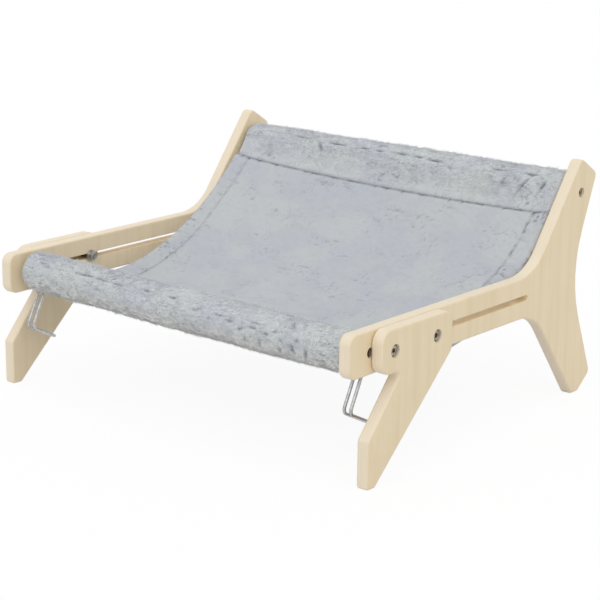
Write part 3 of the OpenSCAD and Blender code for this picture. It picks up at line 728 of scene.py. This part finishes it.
class Roll:
    """A sleeve of plush round a rod: half its length and its surface at any place."""

    def __init__(self, rod, radius, centre, tip, creases, seed, hooks):
        self.rod, self.radius, self.centre, self.tip = rod, radius, centre, tip
        self.creases, self.seed, self.hooks = creases, seed, hooks

    def half(self, angle, side):
        """Half the length at an angle, on the left where side is below 0."""
        turn = math.radians(angle % 360)
        room = 0.0
        for whole in (0, math.tau):
            low, high = ROOM_FROM - whole, ROOM_TO - whole
            ramps = step(turn, low, low + ROOM_RAMP) * step(turn, high, high - ROOM_RAMP)
            room = max(room, ramps)
        short = FRONT_SHORT if side < 0 else 0
        return PANEL_IN - PANEL_GAP - max(ROOM_LENGTH * room, short) * self.hooks

    def surface(self, share, angle, sunk=SKIN_SUNK):
        """Point, outward way and share of painted shade at a share of the half length and an
        angle.
        """
        half = self.half(angle, share)
        x = share * half
        u = x / PANEL_IN
        turn = math.radians(angle)
        out = Vector((0, math.cos(turn), math.sin(turn)))
        from_end = min(1.0, (half - abs(x)) / (END_ROUND_LEFT if x < 0 else END_ROUND_RIGHT))
        full = math.sqrt(max(0.0, 1 - (1 - from_end) ** 2))
        middle = self.rod + (self.centre(u) - self.rod) * full
        way = self.tip(u) - self.centre(u)
        distance = roll_outline(way, angle, self.radius, full)
        base = Vector((x, middle.x, middle.y)) + out * distance
        off = off_the_lip(angle, way)
        free = step(off, *PILE_SETS_IN) * full
        up, gap = pile(base + Vector((0, self.seed, 0)), CLUMP, CLUMP_HEIGHT, CLUMP_GAP)
        round_way = Vector((x * WAVES_ALONG, WAVES_ROUND * out.y,
                            WAVES_ROUND * out.z + self.seed))
        wave = noise.noise(round_way) * WAVE_HEIGHT
        deep = crease_depth(x, angle, self.creases)
        inward = deep * step(off, *CREASE_SETS_IN) + sunk * step(off, *SINK_SETS_IN)
        point = base + out * ((up + wave) * free - inward)
        hollow = HOLLOW_SHADE * step(-up, *HOLLOW) * free
        shade = max(GAP_SHADE * gap, hollow) + deep * CREASE_SHADE
        return point, out, min(DARKEST, shade)


# %% Skin of a roll


def make_roll(name, roll, node):
    """The closed skin of a roll: rows along it, and four more through the bore."""
    along, around = 400, 150
    bm = bmesh.new()
    bmesh.ops.create_grid(bm, x_segments=around, y_segments=along + 4, size=0.5)
    painted_shade_layer = bm.verts.layers.float.new("gap")
    for vert in bm.verts:
        angle = 360 * (round((vert.co.x + 0.5) * around) % around) / around
        row = round((vert.co.y + 0.5) * (along + 4)) - 2
        if 0 <= row <= along:
            vert.co, _, vert[painted_shade_layer] = roll.surface(1 - 2 * row / along, angle)
            continue
        side = 1 if row < 0 else -1
        inset = TURN_IN if row in (-2, along + 2) else 0
        turn = math.radians(angle)
        vert.co = Vector((side * (roll.half(angle, side) - inset), roll.rod.x, roll.rod.y))
        vert.co += Vector((0, math.cos(turn), math.sin(turn))) * BORE_R
    bmesh.ops.remove_doubles(bm, verts=bm.verts, dist=1e-6)
    bmesh.ops.bridge_loops(bm, edges=[e for e in bm.edges if e.is_boundary])
    bmesh.ops.recalc_face_normals(bm, faces=bm.faces)
    open_edges = sum(1 for e in bm.edges if not e.is_manifold)
    print(name, "open edges:", open_edges, "volume cm3:", round(bm.calc_volume() * 1e6, 1))
    return place(bm, name, [LONG_PLUSH], "frame", [node])


FRONT = Roll(FRONT_ROD, FRONT_R, front_centre, front_tip, FRONT_CREASES, 0.37, True)
REAR = Roll(REAR_ROD, REAR_R, rear_centre, rear_tip, REAR_CREASES, 1.21, False)
front_roll = make_roll("front_roll", FRONT, "front_sleeve")
rear_roll = make_roll("rear_roll", REAR, "rear_sleeve")

# %% [markdown]
# ## Locks of the long pile
# What makes the rolls look soft is that their pile stands off them in thousands of
# small locks that lean along the bed. One lock is a thin cone of three sides. Doubling
# it fifteen times gives 32768 of them, and each is then laid on the skin: its foot just
# under it, its tip further along. A slow noise turns the way they lie, and all locks of
# one small cell share their lean, so that they part in clumps. Feet get painted shade,
# and tips only where they lie in a gap or crease. A cone's own normals point all round
# it, which would make the pile look dark, so each corner takes a normal between that of
# its face and the outward way of the skin.

# %% Locks on a roll
DOUBLINGS = 15
# Steps that spread the feet evenly without rows: powers of 1 / 1.3247, a root of x^3 = x + 1
STEP_ALONG, STEP_ROUND = 0.7548776662, 0.5698402910
CELL = 0.0021
STRAY_SHARE, STRAY_HEIGHT = 0.12, 0.0014
# Drift of the way they lie, as frequency and angle of a slow and a quicker noise
SLOW, SLOW_TURN, QUICK, QUICK_TURN = 55, 1.1, 210, 0.6
# Shares of a lock's lean, length and stand that come from its cell or are its own
CELL_LEAN, OWN_LEAN, LEAN_BACK = 0.8, 0.35, 0.25
LEAST_LENGTH, CELL_LENGTH, OWN_LENGTH = 0.65, 0.5, 0.3
TIP_DOWN, CELL_STAND, OWN_STAND, TIP_IN_GAP = 0.0011, 0.0011, 0.0005, 0.0010
CREASE_FROM, CREASE_FULL, CREASE_PULL = 0.0003, 0.0012, 0.75
WAY_SHARE, SIDE_SHARE, FACE_SHARE = 0.25, 0.3, 0.9
FOOT_SHADE, DARKEST_LOCK = 0.12, 0.9
TIP_GAP = 0.0004  # from a tip to the panel at least


def many_cones(doublings):
    """A bmesh of a cone of three sides, doubled again and again."""
    bm = bmesh.new()
    bmesh.ops.create_cone(bm, cap_ends=True, cap_tris=False, segments=3, radius1=1,
                          radius2=0, depth=1)
    bmesh.ops.remove_doubles(bm, verts=bm.verts, dist=1e-4)
    for _ in range(doublings):
        bmesh.ops.duplicate(bm, geom=bm.verts[:] + bm.edges[:] + bm.faces[:])
    return bm


def lay_locks(name, roll, length, thick, seed):
    """Lays the cones on a roll. The order of the random draws decides how they lie."""
    bm = many_cones(DOUBLINGS)
    painted_shade_layer = bm.verts.layers.float.new("gap")
    bm.verts.index_update()
    normals = [None] * len(bm.verts)
    round_length = 360 / (math.tau * roll.radius)
    feet = [f for f in bm.faces if all(v.co.z < 0 for v in f.verts)]
    for k, base in enumerate(feet):
        share = 2 * ((k * STEP_ALONG + seed) % 1) - 1
        angle = 360 * ((k * STEP_ROUND + seed) % 1)
        foot, out, foot_painted_shade = roll.surface(share, angle, FOOT_SUNK)
        flat = Vector((foot.x, math.radians(angle) * roll.radius, seed))
        cell = noise.cell_vector(Vector((flat.x * 0.5, flat.y, seed)) / CELL)
        drift = noise.noise(flat * SLOW) * SLOW_TURN + noise.noise(flat * QUICK) * QUICK_TURN
        lie = drift + (cell.x - 0.5) * CELL_LEAN + noise.random() * OWN_LEAN - LEAN_BACK
        long = length * (LEAST_LENGTH + CELL_LENGTH * cell.y + OWN_LENGTH * noise.random())
        half = roll.half(angle, share)
        to_x = min(1.0, max(-1.0, (foot.x + math.cos(lie) * long) / half))
        to_angle = angle + math.sin(lie) * long * round_length
        tip, tip_out, tip_painted_shade = roll.surface(to_x, to_angle, 0.0)
        stray = STRAY_HEIGHT * (noise.random() > 1 - STRAY_SHARE)
        stand = -TIP_DOWN + CELL_STAND * cell.z + OWN_STAND * noise.random() + stray
        tip = tip + tip_out * (stand * (1 - tip_painted_shade) - TIP_IN_GAP * tip_painted_shade)
        half_way = (foot.x + tip.x) / 2, (angle + to_angle) / 2
        crossed = step(crease_depth(*half_way, roll.creases), CREASE_FROM, CREASE_FULL)
        tip = tip.lerp(foot + tip_out * 0.0003, CREASE_PULL * crossed)
        tip.x = max(-PANEL_IN + TIP_GAP, min(PANEL_IN - TIP_GAP, tip.x))
        way = (tip - foot).normalized()
        side = way.cross(out).normalized()
        top = way.cross(side)
        ring = list(base.verts)
        apex = next(v for e in ring[0].link_edges for v in e.verts if v not in ring)
        for vert in ring + [apex]:
            normals[vert.index] = out + WAY_SHARE * way + SIDE_SHARE * (cell.x - 0.5) * side
        # Painted shade: a lock's foot is darkened, and its tip takes the painted shade of the
        # skin where it lies.
        for vert in ring:
            vert.co = foot + (side * vert.co.x + top * vert.co.y * 0.6) * thick
            vert[painted_shade_layer] = min(DARKEST_LOCK, FOOT_SHADE + foot_painted_shade)
        apex.co = tip
        apex[painted_shade_layer] = min(DARKEST_LOCK, tip_painted_shade)
    locks = place(bm, name, [LOCKS], "frame")
    mesh = locks.data
    split = [(normals[v] + FACE_SHARE * face.normal).normalized()
             for face in mesh.polygons for v in face.vertices]
    mesh.normals_split_custom_set(split)
    print(name, "has", len(feet), "locks")
    return locks


noise.seed_set(7)
front_locks = lay_locks("front_locks", FRONT, 0.0046, 0.00042, 0.137)
rear_locks = lay_locks("rear_locks", REAR, 0.0042, 0.00042, 0.711)

# %% [markdown]
# ## The sling
# One sheet of short plush, cut to shape and hemmed along both sides. It is made as a
# flat grid that is laid on the hanging curve, and a Solidify modifier gives it the
# thickness of the plush. A vertex group makes the cloth thinner in the stitched line
# and at its edge, and thicker in the hem, where it is folded double. At the left of the
# front it is 1.7 mm narrower than the CAD sheet, to clear a nut when the leg slides back.

# %% Curve and outline of the sling
REAR_FALL, FRONT_FALL, MORE_FALL = (math.radians(a) for a in (47, 38, 1.5))
REAR_PULL, FRONT_PULL = 0.096, 0.094
REAR_PART, FRONT_PART = 0.17, 0.4  # shares of the length where the outline changes
# Pairs hold a size for the left side and one for the right side
GAP_REAR, GAP_FRONT = (0.007, 0.0015), (0.0152, 0.0135)  # from the edge to the panel
HEM_REAR, HEM_FRONT = (0.015, 0.016), 0.012
FADE = (0.035, 0.12)  # share of the length over which the rise ends before the front
RISE_REAR, RISE_LEFT_FRONT = 0.005, 0.011
DROP_RIGHT_REAR, DROP_RIGHT_FRONT, DROP_END = 0.010, 0.015, 0.75


def sling_curve(u):
    """The four points of the hanging curve, which falls a little steeper in the middle."""
    sag = MORE_FALL * (1 - u * u)
    rear_way = Vector((-math.cos(REAR_FALL + sag), -math.sin(REAR_FALL + sag)))
    front_way = Vector((math.cos(FRONT_FALL + sag), -math.sin(FRONT_FALL + sag)))
    first = rear_tip(u) + CLOTH_GAP * rear_way
    last = front_tip(u) + CLOTH_GAP * front_way
    return first, first + REAR_PULL * rear_way, last + FRONT_PULL * front_way, last


def along_curve(points, t):
    """Point and direction of the hanging curve, t from the rear to the front seam."""
    a, b, c, d = points
    s = 1 - t
    point = s ** 3 * a + 3 * s * s * t * b + 3 * s * t * t * c + t ** 3 * d
    way = (s * s * (b - a) + 2 * s * t * (c - b) + t * t * (d - c)).normalized()
    return point, way


def between(rear, front, t):
    return rear + (front - rear) * step(t, REAR_PART, FRONT_PART)


def sling_half(right, t):
    return PANEL_IN - between(GAP_REAR[right], GAP_FRONT[right], t)


def hem_width(right, t):
    return between(HEM_REAR[right], HEM_FRONT, t)


def edge_rise(right, t):
    """How far the edge of the hem stands off the curve, up or, below 0, down."""
    rear, front = RISE_REAR, RISE_LEFT_FRONT
    if right:
        rear -= DROP_RIGHT_REAR * step(t, 0, FADE[right])
        front = -DROP_RIGHT_FRONT * (1 - step(t, FRONT_PART, DROP_END))
    return between(rear, front, t) * min(1.0, (1 - t) / FADE[right])


print("sling half width, rear and front:", sling_half(True, 0), sling_half(True, 1))

# %% Stitches, seam, edge and thickness of the sling
STITCH_IN, STITCH_WANDER, STITCH_WIDTH = 0.001, 0.0006, 0.0011
LEAST_PULL, LEFT_PULL = 0.15, 0.3
LEAST_SEAM, SEAM_LOW, SEAM_HIGH, BLOB_LENGTH = 0.45, 0.003, 0.012, 0.009
LEFT_SPECKS = 0.5
PLAIN_SHARE, THIN_EDGE, EDGE_ROUND = 0.875, 0.3, 0.0045
STITCH_THIN, SEAM_THIN, SEAM_FADE, THINNEST = 0.55, 0.55, 0.02, 0.05


def stitch_line(inward, hem, right, t):
    """How near a point is to the stitches, and how hard the thread pulls there."""
    uneven = noise.noise(Vector((t * 30, 5 if right else 9, 2)))
    off = inward - hem - STITCH_IN - STITCH_WANDER * uneven
    pulled = step(noise.noise(Vector((t * 46, 3 if right else 7, 6))), -0.25, 0.35)
    beat = (LEAST_PULL + (1 - LEAST_PULL) * pulled) * (1 if right else LEFT_PULL)
    return math.exp(-(off / STITCH_WIDTH) ** 2), beat


def rear_seam(x, t):
    """How near a point is to the seam at the rear roll, which has blobs of pile on it."""
    wave = LEAST_SEAM + (1 - LEAST_SEAM) * step(noise.noise(Vector((x * 90, 1, 4))), -0.2, 0.3)
    blob = step(noise.noise(Vector((x * 210, 8, 2))), 0.2, 0.5)
    return (1 - step(t, SEAM_LOW, SEAM_HIGH + BLOB_LENGTH * blob)) * min(1, wave + blob)


def edge_specks(inward, right, t):
    """How dark the specks are that show here and there along the edge."""
    speck = step(noise.noise(Vector((t * 60, 4, 11))), 0.05, 0.35)
    return (1 - step(inward, 0.0005, 0.0035)) * speck * (1 if right else LEFT_SPECKS)


def thickness(inward, in_hem, stitch, beat, t):
    """Share of the full thickness, smaller at the edge, in the stitches and at the seams."""
    thick = 1.0 if in_hem else PLAIN_SHARE
    thick *= THIN_EDGE + (1 - THIN_EDGE) * math.sqrt(min(1.0, inward / EDGE_ROUND))
    thick *= 1 - STITCH_THIN * stitch * (0.4 + 0.6 * beat)
    at_ends = step(t, 0.0, SEAM_FADE) * step(t, 1.0, 1 - SEAM_FADE)
    thick *= SEAM_THIN + (1 - SEAM_THIN) * at_ends
    return max(THINNEST, thick)


print("share of thickness in the open cloth:", thickness(0.1, False, 0, 0, 0.5))

# %% Sling
SLING_T = 0.008
ACROSS, DOWN = 290, 165
PUCKERS, PUCKER_HEIGHT = 30, 0.0007
FOLD_HEIGHT, FOLD_ACROSS, FOLD_DOWN = 0.0014, 500, 160
HEM_PILE, PLAIN_PILE, PILE_GAP = (0.0030, 0.0012), (0.0042, 0.00035), 0.0004
SEAM_DEPTH = 0.0012
# Shares of painted shade in the pile's gaps in the hem and in the open cloth, in the stitched
# groove and in the seam at the rear roll, and how dark the specks along the edge get.
HEM_GAP_SHADE, PLAIN_GAP_SHADE, STITCH_SHADE, SEAM_SHADE, SPECK_DARK = 0.75, 0.35, 0.8, 0.95, 0.6
bm = bmesh.new()
bmesh.ops.create_grid(bm, x_segments=ACROSS, y_segments=DOWN, size=0.5)
painted_shade_layer = bm.verts.layers.float.new("gap")
thin_layer = bm.verts.layers.deform.verify()
for vert in bm.verts:
    t = 0.5 - vert.co.y
    right = vert.co.x > 0
    half = sling_half(right, t)
    x = 2 * vert.co.x * half
    u = x / PANEL_IN
    inward = half - abs(x)
    hem = hem_width(right, t)
    in_hem = inward < hem
    share = min(1.0, inward / hem)
    lift = edge_rise(right, t) * (1 - share) ** 1.5
    turn = math.radians(FOLD_ACROSS * u + FOLD_DOWN * t)
    fold = FOLD_HEIGHT * math.sin(math.pi * t) * math.cos(turn)
    point, way = along_curve(sling_curve(u), t)
    up_way = Vector((0, way.y, -way.x))
    base = Vector((x, point.x, point.y)) + up_way * (lift + fold)
    stitch, beat = stitch_line(inward, hem, right, t)
    near_seam = rear_seam(x, t)
    pucker = PUCKER_HEIGHT * math.cos(t * PUCKERS * math.tau) * step(share, 0.2, 0.9) * in_hem
    size, high = HEM_PILE if in_hem else PLAIN_PILE
    height, gap = pile(base, size, high, PILE_GAP)
    flat_ends = step(t, 0.0, SEAM_FADE) * step(t, 1.0, 1 - SEAM_FADE)
    raised = (height + pucker) * step(inward, 0.0, 0.003) * flat_ends
    vert.co = base + up_way * (raised - SEAM_DEPTH * near_seam)
    # Painted shade in the pile's gaps, the stitched groove and the rear seam, with the edge
    # specks, goes into the gap attribute.
    dark = (HEM_GAP_SHADE if in_hem else PLAIN_GAP_SHADE) * gap + STITCH_SHADE * stitch * beat
    dark += SEAM_SHADE * near_seam + SPECK_DARK * edge_specks(inward, right, t)
    vert[painted_shade_layer] = min(0.95, dark)
    vert[thin_layer][0] = thickness(inward, in_hem, stitch, beat, t)
sling = place(bm, "sling_cloth", [SHORT_PLUSH, KNITTED_BACK], "frame",
              ["sling_panel"])
sling.vertex_groups.new(name="thickness")
solid = sling.modifiers.new("plush_thickness", "SOLIDIFY")
solid.thickness = SLING_T
solid.offset = 0
solid.use_even_offset = False
solid.vertex_group = "thickness"
solid.material_offset = 1
solid.material_offset_rim = 0


# %% End: update the scene
bpy.context.view_layer.update()
